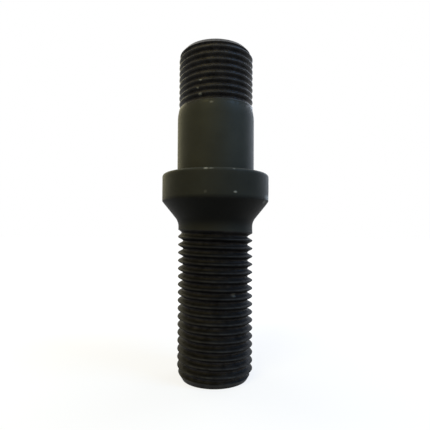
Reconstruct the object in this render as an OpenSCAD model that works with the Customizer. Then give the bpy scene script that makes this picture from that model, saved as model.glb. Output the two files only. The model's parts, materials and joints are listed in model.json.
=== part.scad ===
// Double-ended wheel stud for a heavy vehicle hub, turned from one bar, with two rolled threads.
// It stands on its wheel end: z = 0 is the wheel end face and +Z points to the hub end.
// All lengths are in millimetres.

/* [Overall] */
// Length from end face to end face
stud_length = 95.5; // [90:0.1:110]
// Height of the hub seat, the flat top of the collar, above the wheel end face
seat_height = 59; // [50:0.1:66]

/* [Shank] */
// Diameter of the plain shank that fits the hub's bore
shank_d = 22.6; // [22:0.05:24]
// Length of the plain shank above the hub seat
shank_length = 17; // [12:0.1:20]
// Length of the taper that leads from the shank down to the hub thread
lead_in_length = 2; // [1:0.1:5]
// Diameter at the small end of that taper
lead_in_d = 21.8; // [20.5:0.05:21.8]

/* [Collar] */
// Diameter of the collar
collar_d = 31.3; // [28:0.1:36]
// Height of the collar's cylindrical side, edge rounding included
collar_height = 7.9; // [5:0.1:12]
// Radius of the rounding on the collar's upper edge
collar_edge_r = 0.9; // [0.3:0.1:2]
// Included angle of the cone under the collar
cone_angle = 78; // [60:1:100]
// Radius of the fillet that blends the cone into the neck
neck_fillet_r = 4; // [1.5:0.1:5]
// Diameter of the plain neck between the cone and the wheel thread
neck_d = 21.8; // [21:0.05:21.8]
// Length of the neck, from the fillet down to where the wheel thread's groove has run out
neck_length = 0.9; // [0.1:0.1:8]

/* [Wheel thread] */
// Crest diameter of the wheel nut's thread
wheel_thread_d = 21.95; // [21.9:0.05:22.2]
// Threads per inch
wheel_threads_per_inch = 11; // [10:1:12]
// Flank angle between two turns
wheel_flank_angle = 55; // [55, 60]
// Diameter of the wheel end face inside its chamfer
wheel_face_d = 18.6; // [15:0.1:18.8]
// Length of that chamfer, measured along the stud
wheel_chamfer_length = 2.4; // [1:0.1:4]
// Hand of the thread
wheel_thread_hand = "left"; // [left, right]
// Angle about the stud at which its groove starts
wheel_thread_angle = 234; // [0:1:359]

/* [Hub thread] */
// Crest diameter of the hub nut's thread
hub_thread_d = 21.9; // [21.6:0.05:22.2]
// Threads per inch
hub_threads_per_inch = 14; // [12:1:16]
// Flank angle between two turns
hub_flank_angle = 60; // [55, 60]
// Diameter of the hub end face inside its chamfer
hub_face_d = 18.6; // [15:0.1:19.4]
// Length of that chamfer, measured along the stud
hub_chamfer_length = 2; // [1:0.1:4]
// Hand of the thread
hub_thread_hand = "right"; // [left, right]
// Angle about the stud at which its groove starts
hub_thread_angle = 206; // [0:1:359]

/* [Hidden] */
$fn = 144;

inch = 25.4;
steel_color = [0.16, 0.16, 0.15];

wheel_pitch = inch / wheel_threads_per_inch;
hub_pitch = inch / hub_threads_per_inch;
cone_top = seat_height - collar_height;
shank_top = seat_height + shank_length;
hub_thread_start = shank_top + lead_in_length;
hub_thread_length = stud_length - hub_thread_start;

// Straight segments in one turn of a thread
turn_segments = 28;
// Flats on crest and root as a share of the pitch
flat_share = 1 / 6;
// Turns over which a groove rises out of the metal at its inner end
run_out_turns = 0.6;
// Turns by which a screw passes its end face and its inner end, so that both are cut off clean
foot_turns = 1.5;
head_turns = 0.5;
// How far the outline that limits a threaded end passes its crests
limit_clearance = 1;

// Where the neck fillet meets the neck and the cone
half_cone = cone_angle / 2;
fillet_reach = neck_fillet_r * tan(half_cone / 2);
cone_foot = cone_top - (collar_d - neck_d) / 2 / tan(half_cone);
fillet_start = cone_foot - fillet_reach;
wheel_thread_length = fillet_start - neck_length;

function arc_points(center, radius, from, to, steps) = [
    for (i = [0 : steps])
        let (a = from + (to - from) * i / steps)
        center + radius * [cos(a), sin(a)]
];

// Half section of the plain middle: neck, fillet, cone, collar, shank and taper
module middle_section() {
    polygon(concat(
        [
            [0, wheel_thread_length],
            [neck_d / 2, wheel_thread_length]
        ],
        arc_points([neck_d / 2 + neck_fillet_r, fillet_start], neck_fillet_r, 180, 180 - half_cone, 6),
        [
            [collar_d / 2, cone_top],
            [collar_d / 2, seat_height - collar_edge_r]
        ],
        arc_points([collar_d / 2 - collar_edge_r, seat_height - collar_edge_r], collar_edge_r, 0, 90, 4),
        [
            [shank_d / 2, seat_height],
            [shank_d / 2, shank_top],
            [lead_in_d / 2, hub_thread_start],
            [0, hub_thread_start]
        ]
    ));
}

// Half section that limits a threaded end: end face at height 0, chamfer, and inner end
module end_section(crest_d, face_d, chamfer_length, length) {
    limit_r = crest_d / 2 + limit_clearance;
    chamfer_slope = chamfer_length / ((crest_d - face_d) / 2);
    polygon([
        [0, 0],
        [face_d / 2, 0],
        [limit_r, (limit_r - face_d / 2) * chamfer_slope],
        [limit_r, length],
        [0, length]
    ]);
}

// Depth of a thread whose flanks leave equal flats on crest and root
function thread_depth(pitch, flank_angle) =
    pitch * (1 - 2 * flat_share) / 2 / tan(flank_angle / 2);

// A bar with a helical groove, from below height 0 to above the given length.
// The groove rises out of the metal over its last part and is gone before that length.
module screw(crest_d, pitch, flank_angle, length, right_hand) {
    turn = turn_segments;
    crest_r = crest_d / 2;
    depth = thread_depth(pitch, flank_angle);
    flat = pitch * flat_share;
    flank = pitch / 2 - flat;
    steps = ceil(turn * (length / pitch + foot_turns + head_turns));
    groove_end = turn * (length / pitch + foot_turns - head_turns);
    function depth_at(i) = depth * min(1, max(0, (groove_end - i) / (turn * run_out_turns)));
    function at(i, radius, rise) =
        let (a = (right_hand ? 360 : -360) * i / turn)
        [radius * cos(a), radius * sin(a), pitch * (i / turn - foot_turns) + rise];
    // Four points a step: both ends of the crest, then both ends of the root
    points = concat(
        [
            for (i = [0 : steps])
                let (root_r = crest_r - depth_at(i))
                each [
                    at(i, crest_r, 0),
                    at(i, crest_r, flat),
                    at(i, root_r, flat + flank),
                    at(i, root_r, 2 * flat + flank)
                ]
        ],
        [for (i = [steps + 1 : steps + turn]) at(i, crest_r, 0)],
        [[0, 0, (0.5 - foot_turns) * pitch], [0, 0, (steps / turn + 0.5 - foot_turns) * pitch]]
    );
    // The lower end of a crest, also on the last turn, which has only those points
    function crest_start(i) = i <= steps ? 4 * i : 3 * steps + 3 + i;
    function above(i, k) = k < 3 ? 4 * i + k + 1 : crest_start(i + turn);
    side = [
        for (i = [0 : steps - 1], k = [0 : 3])
            each [
                [4 * i + k, above(i, k), above(i + 1, k)],
                [4 * i + k, above(i + 1, k), 4 * i + 4 + k]
            ]
    ];
    foot_center = len(points) - 2;
    head_center = len(points) - 1;
    foot = concat([for (i = [0 : turn]) 4 * i], [3, 2, 1]);
    head = concat([for (k = [0 : 3]) 4 * steps + k], [for (i = [turn : -1 : 1]) crest_start(steps + i)]);
    function fan(loop, center) = [
        for (i = [0 : len(loop) - 1])
            [center, loop[i], loop[(i + 1) % len(loop)]]
    ];
    faces = concat(side, fan(foot, foot_center), fan(head, head_center));
    polyhedron(points, right_hand ? faces : [for (f = faces) [f[2], f[1], f[0]]]);
}

// One threaded end, with its end face at height 0
module threaded_end(crest_d, pitch, flank_angle, face_d, chamfer_length, length, right_hand, start_angle) {
    intersection() {
        rotate([0, 0, start_angle])
            screw(crest_d, pitch, flank_angle, length, right_hand);
        rotate_extrude() end_section(crest_d, face_d, chamfer_length, length);
    }
}

module wheel_stud() {
    color(steel_color)
        union() {
            rotate_extrude() middle_section();
            threaded_end(
                wheel_thread_d, wheel_pitch, wheel_flank_angle,
                wheel_face_d, wheel_chamfer_length, wheel_thread_length,
                wheel_thread_hand == "right", wheel_thread_angle
            );
            translate([0, 0, stud_length])
                mirror([0, 0, 1])
                    threaded_end(
                        hub_thread_d, hub_pitch, hub_flank_angle,
                        hub_face_d, hub_chamfer_length, hub_thread_length,
                        hub_thread_hand == "left", hub_thread_angle
                    );
        }
}

wheel_stud();
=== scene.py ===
import json
import math
from functools import partial

import bmesh
import bpy
from mathutils import Matrix, Vector


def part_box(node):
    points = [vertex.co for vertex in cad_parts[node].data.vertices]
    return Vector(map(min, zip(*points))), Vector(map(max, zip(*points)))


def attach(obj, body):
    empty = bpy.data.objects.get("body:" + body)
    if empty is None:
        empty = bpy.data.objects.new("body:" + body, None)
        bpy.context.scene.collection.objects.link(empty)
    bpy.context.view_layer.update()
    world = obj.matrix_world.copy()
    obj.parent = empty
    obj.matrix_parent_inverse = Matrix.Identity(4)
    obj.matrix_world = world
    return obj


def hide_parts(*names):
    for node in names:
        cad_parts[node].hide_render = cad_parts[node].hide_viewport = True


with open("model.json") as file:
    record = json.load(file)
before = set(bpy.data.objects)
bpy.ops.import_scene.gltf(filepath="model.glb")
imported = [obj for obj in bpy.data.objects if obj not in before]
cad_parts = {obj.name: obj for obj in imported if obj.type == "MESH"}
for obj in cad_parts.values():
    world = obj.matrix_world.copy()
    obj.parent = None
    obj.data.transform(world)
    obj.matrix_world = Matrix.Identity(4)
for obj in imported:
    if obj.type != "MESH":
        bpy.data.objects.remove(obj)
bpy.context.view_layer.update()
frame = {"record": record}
mounts = {m["name"]: m for m in frame["record"]["mounts"]}
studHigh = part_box("wheel_stud")[1]
mm = 0.001
inch = 25.4 * mm
sameSpot = 0.002 * mm      # vertices closer than this are merged
print("frame loaded")


# node helpers

def addNode(tree, kind, inputs=None, **settings):
    node = tree.nodes.new(kind)
    for name, value in settings.items():
        setattr(node, name, value)
    for key, value in (inputs or {}).items():
        if isinstance(value, bpy.types.NodeSocket):
            tree.links.new(value, node.inputs[key])
        else:
            node.inputs[key].default_value = value
    return node


def calc(tree, operation, *values, clamp=False):
    node = addNode(tree, "ShaderNodeMath", dict(enumerate(values)), operation=operation)
    node.use_clamp = clamp
    return node.outputs[0]


def mapRange(tree, value, start, end, low=0.0, high=1.0, kind="LINEAR"):
    return addNode(tree, "ShaderNodeMapRange", {
        "Value": value, "From Min": start, "From Max": end, "To Min": low, "To Max": high,
    }, interpolation_type=kind).outputs[0]


def mixColours(tree, share, below, above):
    return addNode(tree, "ShaderNodeMix", {0: share, 6: below, 7: above}, data_type="RGBA").outputs[2]


def addNoise(tree, coords, scale, detail):
    return addNode(tree, "ShaderNodeTexNoise", {
        "Vector": coords, "Scale": scale, "Detail": detail,
    }).outputs[0]


def vectorMath(tree, operation, inputs):
    return addNode(tree, "ShaderNodeVectorMath", inputs, operation=operation).outputs


def addSockets(tree, direction, kind, *names):
    for name in names:
        tree.interface.new_socket(name, in_out=direction, socket_type=kind)


# the turned body, split where its threads begin

body = {
    "columns": 96,             # segments around the stud
    "rowHeight": 0.9 * mm,     # longest step along a plain stretch
    "sharpAngle": 50,          # edges that turn by more than this are drawn sharp
    "seatInnerFillet": 0.25 * mm,
    "collarEdge": 0.9 * mm,    # rounding on the collar's upper edge
    "coneEdge": 0.45 * mm,     # rounding between the collar's side and the cone
    "collarHeight": 7.9 * mm,
    "coneHalfAngle": 39,
    "neckFillet": 4.0 * mm,
    "neckRadius": 10.9 * mm,
    "shankEdge": 12.0 * mm,    # soft round where the shank turns into its taper
    "leadIn": 2.0 * mm,
    "leadInRadius": 10.9 * mm,
    "shankPaintedShade": 1.0,          # painted shade: how light each stretch is drawn, darker where less light reaches it
    "collarPaintedShade": 0.72,
    "conePaintedShade": 0.17,
    "neckPaintedShade": 0.66,
    "seatBand": 0.5 * mm,      # how far the shank's painted shade reaches down over the collar's upper edge
    "coneBand": 0.2 * mm,      # how far the cone's painted shade reaches up the collar's side
    "conePaintedShadeReach": 5.5 * mm,      # painted shade: how far down from the collar the cone stays dark
    "neckPaintedShadeEnd": 8.3 * mm,     # and where the neck's own painted shade is reached
    "wornBend": 0.5,           # an outer edge that turns by this, in radians, is worn in full
    "dentAngle": 85,           # a knock in the collar's lower edge, counted from the front toward +X
    "dentHeight": 51.9 * mm,
    "dentDepth": 0.26 * mm,
    "dentReach": 1.2 * mm,
}
body["collarRadius"] = min(studHigh.x, studHigh.y)
body["seat"] = mounts["hub_seat"]["pos_m"][2]
body["coneTop"] = body["seat"] - body["collarHeight"]
body["shankRadius"] = mounts["shank"]["dims"]["r_mm"] * mm
body["shankTop"] = body["seat"] + mounts["shank"]["dims"]["length_mm"] * mm
body["leadInTop"] = body["shankTop"] + body["leadIn"]


def cornerArc(centre, radius, start, end, steps):
    points = []
    for i in range(steps + 1):
        angle = math.radians(start + (end - start) * i / steps)
        points.append((centre[0] + radius * math.cos(angle), centre[1] + radius * math.sin(angle)))
    return points


def turnedOutline():
    b = body
    halfCone = b["coneHalfAngle"]
    half = math.radians(halfCone)
    coneFoot = b["coneTop"] - (b["collarRadius"] - b["neckRadius"]) / math.tan(half)
    filletStart = coneFoot - b["neckFillet"] * math.tan(half / 2)
    taper = math.atan2(b["shankRadius"] - b["leadInRadius"], b["leadIn"])
    neckCentre = (b["neckRadius"] + b["neckFillet"], filletStart)
    coneCentre = (b["collarRadius"] - b["coneEdge"], b["coneTop"] + b["coneEdge"] * math.tan(half / 2))
    collarCentre = (b["collarRadius"] - b["collarEdge"], b["seat"] - b["collarEdge"])
    seatCentre = (b["shankRadius"] + b["seatInnerFillet"], b["seat"] + b["seatInnerFillet"])
    shankCentre = (b["shankRadius"] - b["shankEdge"], b["shankTop"] - b["shankEdge"] * math.tan(taper / 2))
    return [
        (b["neckRadius"], wheelThread["length"]),
        *cornerArc(neckCentre, b["neckFillet"], 180, 180 - halfCone, steps=10),
        *cornerArc(coneCentre, b["coneEdge"], -halfCone, 0, steps=5),
        *cornerArc(collarCentre, b["collarEdge"], 0, 90, steps=8),
        *cornerArc(seatCentre, b["seatInnerFillet"], 270, 180, steps=4),
        *cornerArc(shankCentre, b["shankEdge"], 0, math.degrees(taper), steps=6),
        (b["leadInRadius"], b["leadInTop"]),
    ]


def splitLongSteps(points, longest):
    out = [points[0]]
    for a, b in zip(points, points[1:]):
        count = max(1, math.ceil(math.dist(a, b) / longest))
        for i in range(1, count + 1):
            out.append((a[0] + (b[0] - a[0]) * i / count, a[1] + (b[1] - a[1]) * i / count))
    return out


def wearAt(outline, i):
    if i == 0 or i == len(outline) - 1:
        return 0.0
    before, here, after = outline[i - 1:i + 2]
    turnIn = math.atan2(here[0] - before[0], here[1] - before[1])
    turnOut = math.atan2(after[0] - here[0], after[1] - here[1])
    bend = (turnIn - turnOut + math.pi) % (2 * math.pi) - math.pi   # above 0 on an outer edge
    return min(1.0, max(0.0, bend / body["wornBend"]))


# painted shade by height: the collar darker than the shank, the down-facing cone darkest, growing lighter
# into the neck
def paintedShadeAt(height):
    if height > body["seat"] - body["seatBand"]:
        return body["shankPaintedShade"]
    if height > body["coneTop"] + body["coneBand"]:
        return body["collarPaintedShade"]
    down = (body["coneTop"] - body["conePaintedShadeReach"] - height) / (body["neckPaintedShadeEnd"] - body["conePaintedShadeReach"])
    return body["conePaintedShade"] + (body["neckPaintedShade"] - body["conePaintedShade"]) * min(1.0, max(0.0, down))


def makeTurnedMiddle():
    outline = splitLongSteps(turnedOutline(), body["rowHeight"])
    columns = body["columns"]
    bm = bmesh.new()
    wearAndHighlight = bm.verts.layers.float.new("wearAndHighlight")
    paintedShading = bm.verts.layers.float.new("paintedShading")
    dent = math.radians(body["dentAngle"] - 90)
    dentPlace = Vector((math.cos(dent), math.sin(dent), 0)) * body["collarRadius"]
    dentPlace.z = body["dentHeight"]
    rings = []
    for i, (radius, height) in enumerate(outline):
        ringWear = wearAt(outline, i)
        ringPaintedShade = paintedShadeAt(height)
        ring = []
        for k in range(columns):
            angle = 2 * math.pi * k / columns
            place = Vector((radius * math.cos(angle), radius * math.sin(angle), height))
            pressed = body["dentDepth"] * math.exp(-((place - dentPlace).length / body["dentReach"]) ** 2)
            place.xy *= 1 - pressed / radius
            vert = bm.verts.new(place)
            vert[wearAndHighlight] = ringWear
            vert[paintedShading] = ringPaintedShade
            ring.append(vert)
        rings.append(ring)
    for lower, upper in zip(rings, rings[1:]):
        for k in range(columns):
            n = (k + 1) % columns
            bm.faces.new((lower[k], lower[n], upper[n], upper[k]))
    mesh = bpy.data.meshes.new("turnedMiddle")
    bm.to_mesh(mesh)
    bm.free()
    piece = bpy.data.objects.new("turnedMiddle", mesh)
    bpy.context.scene.collection.objects.link(piece)
    print("turnedMiddle made,", len(mesh.polygons), "faces")
    return piece


# the two threaded ends

wheelThread = {
    "pitch": inch / 11,
    "crestRadius": 10.975 * mm,
    "flankAngle": 55.0,
    "crestCut": 1 / 6,         # share of the sharp form cut off at the crest
    "rootCut": 1 / 6,
    "rounding": 0.30,          # how round crest and root are, as a share of the sharp form
    "length": 42.9 * mm,       # from the end face to where the groove has run out
    "innerRadius": body["neckRadius"],
    "runOut": 0.6,             # turns over which the groove rises out of the metal
    "hand": -1.0,              # left hand
    "crestHeight": 40.28 * mm,     # height of a crest on the front of the stud
    "rowsPerPitch": 22,
    "faceRadius": 9.5 * mm,
    "chamfer": 2.4 * mm,       # its length along the stud
    "paintedShading": 0.16,              # the flanks' painted shade, and below it the painted light and shade of the other parts
    "crestPaintedShade": 0.17,
    "rootPaintedLight": 1.10,
    "chamferTone": 1.0,
    "innerPaintedShade": body["neckPaintedShade"],
    "endPaintedLight": 0.7,            # painted light: how much lighter the thread is drawn towards the end face
    "crestWearAndHighlight": 0.50,         # how far the crests are rubbed bare, partly wear and partly a painted highlight
    "oil": 0.0,                # how much oil the thread holds
}
hubThread = {
    "pitch": inch / 14,
    "crestRadius": 10.95 * mm,
    "flankAngle": 60.0,
    "crestCut": 1 / 8,
    "rootCut": 1 / 5,
    "rounding": 0.26,
    "length": studHigh.z - body["leadInTop"],
    "innerRadius": body["leadInRadius"],
    "runOut": 0.6,
    "hand": 1.0,
    "crestHeight": 89.25 * mm,
    "rowsPerPitch": 18,
    "faceRadius": 9.40 * mm,
    "chamfer": 1.7 * mm,
    "paintedShading": 0.68,
    "crestPaintedShade": 0.35,
    "rootPaintedLight": 1.25,
    "chamferTone": 1.5,
    "innerPaintedShade": body["shankPaintedShade"],
    "endPaintedLight": 0.5,
    "crestWearAndHighlight": 0.28,
    "oil": 0.85,
}

# A threaded end is a Geometry Nodes tree: a grid wrapped round the stud, pushed in where the groove runs.
# It stands with its end face down, at height 0.

threadCounts = {      # the tree's whole-number inputs, and the setting that each takes
    "Columns": "columns",
    "Rows per Pitch": "rowsPerPitch",
}
threadSizes = {       # and its other ones
    "Pitch": "pitch",
    "Crest Radius": "crestRadius",
    "Flank Angle": "flankAngle",
    "Crest Cut": "crestCut",
    "Root Cut": "rootCut",
    "Rounding": "rounding",
    "Length": "length",
    "Inner Radius": "innerRadius",
    "Run Out": "runOut",
    "Hand": "hand",
    "Crest at X": "crestAtX",
    "Face Radius": "faceRadius",
    "Chamfer": "chamfer",
    "Tone": "paintedShading",
    "Crest Tone": "crestPaintedShade",
    "Root Tone": "rootPaintedLight",
    "Chamfer Tone": "chamferTone",
    "Inner Tone": "innerPaintedShade",
    "End Lift": "endPaintedLight",
    "Crest Wear": "crestWearAndHighlight",
    "Oil": "oil",
}


# x runs once round the stud, y climbs from a pitch below the end face to a pitch above the inner end
def addWallGrid(tree, given):
    m = partial(calc, tree)
    span = m("ADD", given["Length"], m("MULTIPLY", given["Pitch"], 2.0))
    rows = m("CEIL", m("MULTIPLY", m("DIVIDE", span, given["Pitch"]), given["Rows per Pitch"]))
    rowHeight = m("DIVIDE", given["Pitch"], given["Rows per Pitch"])
    return addNode(tree, "GeometryNodeMeshGrid", {
        "Size X": 1.0,
        "Size Y": m("MULTIPLY", rows, rowHeight),
        "Vertices X": m("ADD", given["Columns"], 1.0),
        "Vertices Y": m("ADD", rows, 1.0),
    }).outputs["Mesh"]


# the groove with rounded crests and roots, its run-out, and the chamfer on the end face
def addProfile(tree, given, height, climb):
    closingTurns = 0.12      # turns before the inner end over which what is left of the groove closes
    swellTurns = 0.5         # turns over which the inner radius becomes the crests'
    chamferSoftness = 0.15 * mm      # how softly the chamfer meets the thread
    m = partial(calc, tree)
    turnsUp = m("DIVIDE", m("SUBTRACT", m("SUBTRACT", height, given["Crest at X"]), climb), given["Pitch"])
    fromRoot = m("SUBTRACT", m("FRACT", turnsUp), 0.5)      # turns, 0 in a root and 0.5 on a crest
    away = m("MULTIPLY", m("ABSOLUTE", fromRoot), 2.0)
    halfAngle = m("MULTIPLY", given["Flank Angle"], math.radians(0.5))
    sharp = m("DIVIDE", m("MULTIPLY", given["Pitch"], 0.5), m("TANGENT", halfAngle))
    fall = m("SUBTRACT", m("SUBTRACT", 1.0, away), given["Crest Cut"])
    fullFall = m("SUBTRACT", m("SUBTRACT", 1.0, given["Root Cut"]), given["Crest Cut"])
    rounded = m("SMOOTH_MAX", fall, 0.0, given["Rounding"])
    rounded = m("SMOOTH_MIN", rounded, fullFall, given["Rounding"])
    depth = m("MULTIPLY", rounded, sharp)

    turnsToEnd = m("DIVIDE", m("SUBTRACT", given["Length"], height), given["Pitch"])
    rootHeight = m("SUBTRACT", height, m("MULTIPLY", fromRoot, given["Pitch"]))
    runOut = m("MULTIPLY", given["Pitch"], given["Run Out"])
    left = m("DIVIDE", m("SUBTRACT", given["Length"], rootHeight), runOut)
    fade = m("MINIMUM", m("MAXIMUM", left, 0.0), 1.0)
    fade = m("MULTIPLY", fade, mapRange(tree, turnsToEnd, 0.0, closingTurns, kind="SMOOTHSTEP"))
    bar = mapRange(
        tree, turnsToEnd, 0.0, swellTurns, given["Inner Radius"], given["Crest Radius"], kind="SMOOTHSTEP"
    )
    threaded = m("SUBTRACT", bar, m("MULTIPLY", depth, fade))

    slope = m("DIVIDE", m("SUBTRACT", given["Crest Radius"], given["Face Radius"]), given["Chamfer"])
    chamfered = m("ADD", given["Face Radius"], m("MULTIPLY", height, slope))
    softness = m("MINIMUM", height, chamferSoftness)      # none at the face's own rim
    return {
        "radius": m("SMOOTH_MIN", threaded, chamfered, softness),
        "pastChamfer": m("SUBTRACT", threaded, chamfered),
        "depth": depth,
        "sharp": sharp,
        "deepest": m("MULTIPLY", fullFall, sharp),
        "fade": fade,
        "turnsToEnd": turnsToEnd,
    }


# painted light and shade on the threads: the flanks are drawn dark and the roots light, and all grow lighter
# towards the end face; the rubbed crests are lighter, partly from wear and partly as a painted highlight
def addPaintedShading(tree, given, height, profile):
    rubbedStart, rubbedEnd = 0.02, 0.08      # a crest's rubbing and painted highlight end between these shares of the sharp form
    rootPaintedLightShare = 0.55                        # share of the full depth at which the root's painted light begins
    barTurns, threadTurns = 0.2, 1.0         # turns from the inner end, with the plain bar's painted shade before them
    chamferEdge = 0.1 * mm
    m = partial(calc, tree)
    shallow = m("MULTIPLY", profile["sharp"], rubbedStart)
    deeper = m("MULTIPLY", profile["sharp"], rubbedEnd)
    # the crest band, partly wear and partly a painted highlight
    rubbed = mapRange(tree, profile["depth"], shallow, deeper, 1.0, 0.0, kind="SMOOTHSTEP")
    rubbed = m("MULTIPLY", rubbed, profile["fade"])
    rootPaintedLightStart = m("MULTIPLY", profile["deepest"], rootPaintedLightShare)
    paintedShading = mapRange(tree, profile["depth"], rootPaintedLightStart, profile["deepest"], given["Tone"], given["Root Tone"])
    paintedShading = m("ADD", paintedShading, m("MULTIPLY", rubbed, m("SUBTRACT", given["Crest Tone"], paintedShading)))

    # painted light: the thread is drawn lighter towards the end face, its crests more so
    fromInner = m("SUBTRACT", 1.0, m("DIVIDE", height, given["Length"]))
    extra = m("MULTIPLY", given["End Lift"], fromInner)
    lift = m("ADD", 1.0, extra)
    paintedShading = m("MULTIPLY", m("MULTIPLY", paintedShading, lift), m("ADD", 1.0, m("MULTIPLY", rubbed, extra)))
    wearAndHighlight = m("MULTIPLY", m("MULTIPLY", rubbed, given["Crest Wear"]), m("MULTIPLY", lift, lift))

    # near the inner end the thread takes the body's painted shade
    threadShare = mapRange(tree, profile["turnsToEnd"], barTurns, threadTurns, kind="SMOOTHSTEP")
    pastInner = m("SUBTRACT", paintedShading, given["Inner Tone"])
    paintedShading = m("ADD", given["Inner Tone"], m("MULTIPLY", threadShare, pastInner))
    paintedShading = mapRange(tree, profile["pastChamfer"], 0.0, chamferEdge, paintedShading, given["Chamfer Tone"])
    return {"paintedShading": paintedShading, "wearAndHighlight": wearAndHighlight, "rolled": profile["fade"], "oil": given["Oil"]}


def storeValues(tree, geometry, values):
    for name, value in values.items():
        geometry = addNode(tree, "GeometryNodeStoreNamedAttribute", {
            "Geometry": geometry, "Name": name, "Value": value,
        }, data_type="FLOAT", domain="POINT").outputs[0]
    return geometry


# a disc of rings closes the bar
def addEndFace(tree, given, place, angle):
    ringCount = 4
    crowding = 4.0      # above 1, the rings lie closer to the rim
    m = partial(calc, tree)
    grid = addNode(tree, "GeometryNodeMeshGrid", {
        "Size X": 1.0, "Size Y": 1.0, "Vertices X": m("ADD", given["Columns"], 1.0), "Vertices Y": ringCount,
    }).outputs["Mesh"]
    inward = m("POWER", m("ADD", place["Y"], 0.5), crowding)
    ring = m("MULTIPLY", given["Face Radius"], m("SUBTRACT", 1.0, inward))
    spread = addNode(tree, "ShaderNodeCombineXYZ", {
        "X": m("MULTIPLY", ring, m("COSINE", angle)),
        "Y": m("MULTIPLY", ring, m("SINE", angle)),
    }).outputs[0]
    grid = storeValues(tree, grid, {"paintedShading": given["Chamfer Tone"]})
    return addNode(tree, "GeometryNodeSetPosition", {"Geometry": grid, "Position": spread}).outputs[0]


def buildThreadTree():
    tree = bpy.data.node_groups.new("threadedEnd", "GeometryNodeTree")
    addSockets(tree, "INPUT", "NodeSocketInt", *threadCounts)
    addSockets(tree, "INPUT", "NodeSocketFloat", *threadSizes)
    addSockets(tree, "INPUT", "NodeSocketMaterial", "Material")
    addSockets(tree, "OUTPUT", "NodeSocketGeometry", "Geometry")
    given = addNode(tree, "NodeGroupInput").outputs
    m = partial(calc, tree)

    position = addNode(tree, "GeometryNodeInputPosition").outputs[0]
    place = addNode(tree, "ShaderNodeSeparateXYZ", {0: position}).outputs
    share = m("ADD", place["X"], 0.5)
    angle = m("MULTIPLY", share, 2 * math.pi)
    climb = m("MULTIPLY", m("MULTIPLY", share, given["Hand"]), given["Pitch"])
    level = m("ADD", place["Y"], m("MULTIPLY", given["Length"], 0.5))
    height = m("MINIMUM", m("MAXIMUM", m("ADD", level, climb), 0.0), given["Length"])
    profile = addProfile(tree, given, height, climb)
    wrapped = addNode(tree, "ShaderNodeCombineXYZ", {
        "X": m("MULTIPLY", profile["radius"], m("COSINE", angle)),
        "Y": m("MULTIPLY", profile["radius"], m("SINE", angle)),
        "Z": height,
    }).outputs[0]
    wall = storeValues(tree, addWallGrid(tree, given), addPaintedShading(tree, given, height, profile))
    wall = addNode(tree, "GeometryNodeSetPosition", {"Geometry": wall, "Position": wrapped}).outputs[0]

    joined = addNode(tree, "GeometryNodeJoinGeometry")
    tree.links.new(wall, joined.inputs[0])
    tree.links.new(addEndFace(tree, given, place, angle), joined.inputs[0])
    welded = addNode(tree, "GeometryNodeMergeByDistance", {
        "Geometry": joined.outputs[0], "Distance": sameSpot,
    })
    realized = addNode(tree, "GeometryNodeRealizeInstances", {"Geometry": welded.outputs[0]})
    finished = addNode(tree, "GeometryNodeSetMaterial", {
        "Geometry": realized.outputs[0], "Material": given["Material"],
    })
    addNode(tree, "NodeGroupOutput", {"Geometry": finished.outputs[0]})
    return tree


def setInput(modifier, name, value):
    sockets = modifier.node_group.interface.items_tree
    socket = next(s for s in sockets if s.name == name and s.in_out == "INPUT")
    modifier[socket.identifier] = value


def makeThreadedEnd(name, tree, settings, material, atTop):
    base = bpy.data.objects.new(name, bpy.data.meshes.new(name))
    bpy.context.scene.collection.objects.link(base)
    modifier = base.modifiers.new("thread", "NODES")
    modifier.node_group = tree
    # the tree counts angles from +X, a quarter turn from the front of the stud, which is at -Y
    crestHeight = studHigh.z - settings["crestHeight"] if atTop else settings["crestHeight"]
    quarterTurn = -0.25 if atTop else 0.25
    values = dict(settings, columns=body["columns"])
    values["crestAtX"] = crestHeight + settings["hand"] * settings["pitch"] * quarterTurn
    for inputName, key in {**threadCounts, **threadSizes}.items():
        setInput(modifier, inputName, values[key])
    setInput(modifier, "Material", material)
    bpy.context.view_layer.update()
    solved = base.evaluated_get(bpy.context.evaluated_depsgraph_get())
    mesh = bpy.data.meshes.new_from_object(solved)
    base.modifiers.remove(modifier)
    base.data = mesh
    if atTop:      # turned over about the X axis
        mesh.transform(Matrix.Translation((0, 0, studHigh.z)) @ Matrix.Rotation(math.pi, 4, "X"))
    print(name, "made,", len(mesh.polygons), "faces")
    return base


def joinPieces(name, pieces):
    bm = bmesh.new()
    for piece in pieces:
        bm.from_mesh(piece.data)
    bmesh.ops.remove_doubles(bm, verts=bm.verts, dist=sameSpot)
    bmesh.ops.recalc_face_normals(bm, faces=bm.faces)
    mesh = bpy.data.meshes.new(name)
    bm.to_mesh(mesh)
    openEdges = sum(1 for edge in bm.edges if len(edge.link_faces) != 2)
    bm.free()
    for piece in pieces:
        bpy.data.objects.remove(piece)
    stud = bpy.data.objects.new(name, mesh)
    bpy.context.scene.collection.objects.link(stud)
    mesh.shade_smooth()
    mesh.set_sharp_from_angle(angle=math.radians(body["sharpAngle"]))
    print(name, "joined,", len(mesh.polygons), "faces,", openEdges, "open edges")
    return stud


# black oxide finish

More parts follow.
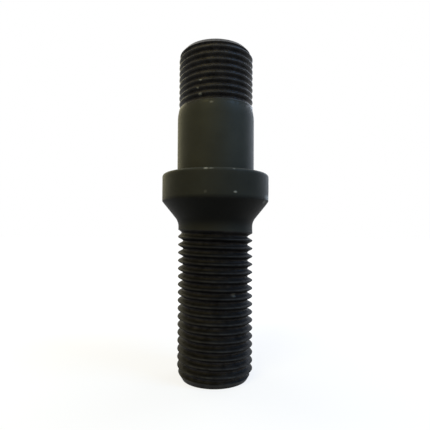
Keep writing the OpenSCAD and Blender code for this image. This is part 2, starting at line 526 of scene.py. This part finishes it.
finish = {
    "steelColour": (0.0205, 0.0212, 0.0170, 1.0),
    "rolledColour": (0.0214, 0.0200, 0.0194, 1.0),      # the threads are greyer
    "wornAndHighlightColour": (0.053, 0.053, 0.049, 1.0),
    "roughness": 0.54,
    "rolledRoughness": 0.56,
    "roughnessSpread": 0.14,   # how much the grain changes the roughness
    "specular": 0.05,
    "oilGloss": 1.12,          # refractive index of the thin oil film
    "oilRoughness": 0.30,
    "wearAmount": 0.30,
    "wearPatches": 400.0,      # each noise's scale: the higher, the finer
    "grain": 900.0,
    "mottle": 540.0,
    "cloud": 108.0,
    "cloudShade": 0.18,        # how much lighter or darker the clouds are
    "threadMottle": 0.45,      # and the mottle on the threads
    "grainStrength": 0.25,
    "grainDepth": 0.01 * mm,
    "nickAndGlintColour": (0.17, 0.165, 0.14, 1.0),
    # bare spots, and three painted glints on the collar's upper edge: angle from the front toward +X, height,
    # distance from the axis, width, height, strength
    "nicksAndGlints": [
        (19.1, 52.6, 15.62, 0.66, 0.43, 1.0),
        (-9.7, 52.6, 15.62, 0.70, 0.60, 0.14),
        (-6.6, 77.4, 10.98, 0.75, 0.50, 0.45),
        (31.0, 25.0, 9.85, 1.10, 0.70, 0.9),
        (-23.2, 83.7, 10.85, 0.65, 0.35, 1.0),
        (-27.9, 81.7, 10.75, 0.60, 0.35, 0.9),
        (-23.8, 79.9, 10.75, 0.75, 0.45, 1.2),
        # painted highlights: glints on the collar's rounded upper edge
        (-9.6, 58.64, 15.47, 0.85, 0.44, 1.0),
        (-4.6, 58.62, 15.47, 1.10, 0.22, 0.5),
        (18.0, 58.62, 15.47, 0.55, 0.27, 0.5),
        (71.0, 51.95, 15.62, 3.80, 1.10, 1.0),
        (63.0, 50.7, 15.30, 1.60, 0.80, 0.45),
        (152.0, 58.5, 15.50, 0.80, 0.30, 0.6),
        (-118.0, 30.5, 10.60, 0.60, 0.40, 0.6),
        (205.0, 68.1, 11.30, 0.50, 0.30, 0.4),
    ],
}


# a mask for worn edges; on the thread crests it also carries a painted highlight
def buildEdgeWear():
    bareBelow, wornAbove = 0.35, 0.68      # noise values between which a patch's rim lies
    tree = bpy.data.node_groups.new("edgeWear", "ShaderNodeTree")
    addSockets(tree, "INPUT", "NodeSocketFloat", "Edge", "Amount", "Patch Scale")
    addSockets(tree, "OUTPUT", "NodeSocketFloat", "Mask")
    given = addNode(tree, "NodeGroupInput").outputs
    coords = addNode(tree, "ShaderNodeTexCoord").outputs["Object"]
    patches = addNoise(tree, coords, given["Patch Scale"], detail=3.0)
    rubbed = calc(tree, "MULTIPLY", given["Edge"], mapRange(tree, patches, bareBelow, wornAbove))
    mask = calc(tree, "MULTIPLY", rubbed, given["Amount"], clamp=True)
    addNode(tree, "NodeGroupOutput", {"Mask": mask})
    return tree


def buildGrain():
    tree = bpy.data.node_groups.new("steelGrain", "ShaderNodeTree")
    addSockets(tree, "INPUT", "NodeSocketFloat", "Fine Scale", "Mottle Scale", "Cloud Scale")
    addSockets(tree, "OUTPUT", "NodeSocketFloat", "Fine", "Mottle", "Cloud")
    given = addNode(tree, "NodeGroupInput").outputs
    coords = addNode(tree, "ShaderNodeTexCoord").outputs["Object"]
    addNode(tree, "NodeGroupOutput", {
        "Fine": addNoise(tree, coords, given["Fine Scale"], detail=4.0),
        "Mottle": addNoise(tree, coords, given["Mottle Scale"], detail=3.0),
        "Cloud": addNoise(tree, coords, given["Cloud Scale"], detail=3.0),
    })
    return tree


def buildNickAndGlint():
    raggedScale = 2500.0
    raggedness = 0.5
    fullWithin, noneBeyond = 0.4, 1.15      # distances from its middle, in its own size
    tree = bpy.data.node_groups.new("nickAndGlint", "ShaderNodeTree")
    addSockets(tree, "INPUT", "NodeSocketVector", "Centre", "Size")
    addSockets(tree, "INPUT", "NodeSocketFloat", "Strength", "Before")
    addSockets(tree, "OUTPUT", "NodeSocketFloat", "Mask")
    given = addNode(tree, "NodeGroupInput").outputs
    coords = addNode(tree, "ShaderNodeTexCoord").outputs["Object"]
    ragged = calc(tree, "MULTIPLY", addNoise(tree, coords, raggedScale, detail=2.0), raggedness)
    offset = vectorMath(tree, "SUBTRACT", {0: coords, 1: given["Centre"]})["Vector"]
    offset = vectorMath(tree, "DIVIDE", {0: offset, 1: given["Size"]})["Vector"]
    gap = vectorMath(tree, "LENGTH", {0: offset})["Value"]
    spot = mapRange(tree, calc(tree, "ADD", gap, ragged), fullWithin, noneBeyond, 1.0, 0.0)
    mask = calc(tree, "MAXIMUM", given["Before"], calc(tree, "MULTIPLY", spot, given["Strength"]))
    addNode(tree, "NodeGroupOutput", {"Mask": mask})
    return tree


# each nick and painted glint takes the mask of those before it
def addNicksAndGlints(tree):
    nickAndGlintTree = buildNickAndGlint()
    mask = 0.0
    for degrees, height, radius, width, tall, strength in finish["nicksAndGlints"]:
        angle = math.radians(degrees)
        mask = addNode(tree, "ShaderNodeGroup", {
            "Centre": (radius * math.sin(angle) * mm, -radius * math.cos(angle) * mm, height * mm),
            "Size": (width * mm, width * mm, tall * mm),
            "Strength": strength,
            "Before": mask,
        }, node_tree=nickAndGlintTree).outputs["Mask"]
    return mask


def makeBlackSteel():
    noiseLow, noiseHigh = 0.3, 0.7      # nearly all of a noise lies between these
    material = bpy.data.materials.new("blackOxideSteel")
    material.use_nodes = True
    tree = material.node_tree
    shader = tree.nodes["Principled BSDF"]
    shader.inputs["Specular IOR Level"].default_value = finish["specular"]
    shader.inputs["Coat IOR"].default_value = finish["oilGloss"]
    shader.inputs["Coat Roughness"].default_value = finish["oilRoughness"]
    # values that the mesh stores at its points
    edge, paintedShading, rolled, oil = (
        addNode(tree, "ShaderNodeAttribute", attribute_name=name).outputs["Fac"]
        for name in ("wearAndHighlight", "paintedShading", "rolled", "oil")
    )
    grain = addNode(tree, "ShaderNodeGroup", {
        "Fine Scale": finish["grain"], "Mottle Scale": finish["mottle"], "Cloud Scale": finish["cloud"],
    }, node_tree=buildGrain()).outputs
    wearAndHighlight = addNode(tree, "ShaderNodeGroup", {
        "Edge": edge, "Amount": finish["wearAmount"], "Patch Scale": finish["wearPatches"],
    }, node_tree=buildEdgeWear()).outputs["Mask"]

    cloudShade, threadMottle = finish["cloudShade"], finish["threadMottle"]
    shade = mapRange(tree, grain["Cloud"], noiseLow, noiseHigh, 1 - cloudShade, 1 + cloudShade)
    # the rolled threads are rubbed unevenly
    uneven = mapRange(tree, grain["Mottle"], noiseLow, noiseHigh, -threadMottle, threadMottle)
    uneven = calc(tree, "ADD", 1.0, calc(tree, "MULTIPLY", uneven, rolled))
    # the painted light and shade that the mesh stores, with random clouds and mottle
    toned = calc(tree, "MULTIPLY", calc(tree, "MULTIPLY", shade, paintedShading), uneven)
    steel = mixColours(tree, rolled, finish["steelColour"], finish["rolledColour"])
    steel = vectorMath(tree, "SCALE", {0: steel, "Scale": toned})["Vector"]
    # worn edges, and on the crests a painted highlight
    wornAndHighlit = mixColours(tree, wearAndHighlight, steel, finish["wornAndHighlightColour"])
    # bare nicks, and painted glints on the collar's upper edge
    nickedAndGlinting = mixColours(tree, addNicksAndGlints(tree), wornAndHighlit, finish["nickAndGlintColour"])

    spread = finish["roughnessSpread"]
    smoothest = mapRange(
        tree, rolled, 0.0, 1.0, finish["roughness"] - spread / 2, finish["rolledRoughness"] - spread / 2
    )
    rough = calc(tree, "ADD", smoothest, calc(tree, "MULTIPLY", grain["Fine"], spread))
    bump = addNode(tree, "ShaderNodeBump", {
        "Height": grain["Fine"], "Strength": finish["grainStrength"], "Distance": finish["grainDepth"],
    })
    tree.links.new(nickedAndGlinting, shader.inputs["Base Color"])
    tree.links.new(rough, shader.inputs["Roughness"])
    tree.links.new(oil, shader.inputs["Coat Weight"])
    tree.links.new(bump.outputs[0], shader.inputs["Normal"])
    return material


# studio

studio = {
    "floorSize": 6.0,
    "bounceColour": (0.38, 0.38, 0.38, 1.0),   # what the floor sends back onto the stud
    "shadowColour": (0.15, 0.15, 0.15, 1.0),   # what the seen floor takes of the lamps' light and shadows
    "glowNear": (0.01, 0.80),                  # distance from the stud, and the floor's own white there
    "glowFar": (0.18, 0.98),
    "ambient": 0.38,
    "target": 0.060,       # height the lamps point at
    "lamps": {             # azimuth from the front toward +X, elevation, distance, size, watts, colour
        "warmLamp": (-26, 42, 0.30, 0.12, 0.62, (1.0, 0.84, 0.32)),
        "coolLamp": (60, 42, 0.30, 0.12, 0.84, (0.22, 0.52, 1.0)),
        "warmSide": (-135, 24, 0.28, 0.20, 0.37, (1.0, 0.90, 0.48)),
        "coolSide": (135, 24, 0.28, 0.20, 0.43, (0.74, 0.83, 1.0)),
    },
}

view = {
    "eye": (0.0, -0.1130, 0.0417),
    "yaw": 1.0,        # degrees to the right
    "pitch": 1.650,    # degrees up
    "roll": 0.264,
    "lens": 31.93,
    "sensor": 36.0,
    "nearest": 1 * mm,
    "shiftX": -0.0164,
    "shiftY": 0.0183,
}


def throughCamera(tree):
    path = addNode(tree, "ShaderNodeLightPath").outputs
    both = calc(tree, "MAXIMUM", path["Is Camera Ray"], path["Is Glossy Ray"])
    return calc(tree, "MAXIMUM", both, path["Is Transmission Ray"])


def makeFloor():
    bpy.ops.mesh.primitive_plane_add(size=studio["floorSize"], location=(0, 0, 0))
    floor = bpy.context.object
    floor.name = "floor"
    material = bpy.data.materials.new("paleFloor")
    material.use_nodes = True
    tree = material.node_tree
    tree.nodes.clear()
    seen = addNode(tree, "ShaderNodeBsdfDiffuse", {"Color": studio["shadowColour"]})
    # the lamps fade with distance, and the floor's own white fills in for them
    coords = addNode(tree, "ShaderNodeTexCoord").outputs["Object"]
    distance = vectorMath(tree, "LENGTH", {0: coords})["Value"]
    near, far = studio["glowNear"], studio["glowFar"]
    strength = mapRange(tree, distance, near[0], far[0], near[1], far[1], kind="SMOOTHSTEP")
    glow = addNode(tree, "ShaderNodeEmission", {"Color": (1, 1, 1, 1), "Strength": strength})
    pale = addNode(tree, "ShaderNodeAddShader", {0: seen.outputs[0], 1: glow.outputs[0]})
    bounce = addNode(tree, "ShaderNodeBsdfDiffuse", {"Color": studio["bounceColour"]})
    mix = addNode(tree, "ShaderNodeMixShader", {
        0: throughCamera(tree), 1: bounce.outputs[0], 2: pale.outputs[0],
    })
    addNode(tree, "ShaderNodeOutputMaterial", {"Surface": mix.outputs[0]})
    floor.data.materials.append(material)


def makeWorld():
    world = bpy.data.worlds.new("studioWorld")
    bpy.context.scene.world = world
    world.use_nodes = True
    tree = world.node_tree
    background = tree.nodes["Background"]
    background.inputs["Color"].default_value = (1.0, 1.0, 1.0, 1.0)
    strength = mapRange(tree, throughCamera(tree), 0.0, 1.0, studio["ambient"], 1.0)
    tree.links.new(strength, background.inputs["Strength"])


def makeLamp(name, azimuth, elevation, distance, size, watts, colour):
    light = bpy.data.lights.new(name, "AREA")
    light.size = size
    light.energy = watts
    light.color = colour
    item = bpy.data.objects.new(name, light)
    item.visible_camera = False
    target = Matrix.Translation((0, 0, studio["target"]))
    aim = Matrix.Rotation(math.radians(azimuth), 4, "Z")
    aim = aim @ Matrix.Rotation(math.radians(90 - elevation), 4, "X")
    item.matrix_world = target @ aim @ Matrix.Translation((0, 0, distance))
    bpy.context.scene.collection.objects.link(item)


def makeCamera():
    lens = bpy.data.cameras.new("camera")
    lens.sensor_width = view["sensor"]
    lens.lens = view["lens"]
    lens.shift_x = view["shiftX"]
    lens.shift_y = view["shiftY"]
    lens.clip_start = view["nearest"]
    camera = bpy.data.objects.new("camera", lens)
    turn = Matrix.Rotation(-math.radians(view["yaw"]), 4, "Z")
    turn = turn @ Matrix.Rotation(math.radians(90 + view["pitch"]), 4, "X")
    turn = turn @ Matrix.Rotation(math.radians(view["roll"]), 4, "Z")
    camera.matrix_world = Matrix.Translation(view["eye"]) @ turn
    bpy.context.scene.collection.objects.link(camera)
    bpy.context.scene.camera = camera


blackSteel = makeBlackSteel()
threadTree = buildThreadTree()
wheelEnd = makeThreadedEnd("wheelEnd", threadTree, wheelThread, blackSteel, atTop=False)
hubEnd = makeThreadedEnd("hubEnd", threadTree, hubThread, blackSteel, atTop=True)
stud = joinPieces("stud", [makeTurnedMiddle(), wheelEnd, hubEnd])
stud.data.materials.append(blackSteel)
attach(stud, "root")
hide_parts("wheel_stud")
print("stud finished")

makeFloor()
makeWorld()
for name, lamp in studio["lamps"].items():
    makeLamp(name, *lamp)
makeCamera()
bpy.context.scene.view_settings.view_transform = "Standard"
print("studio ready")
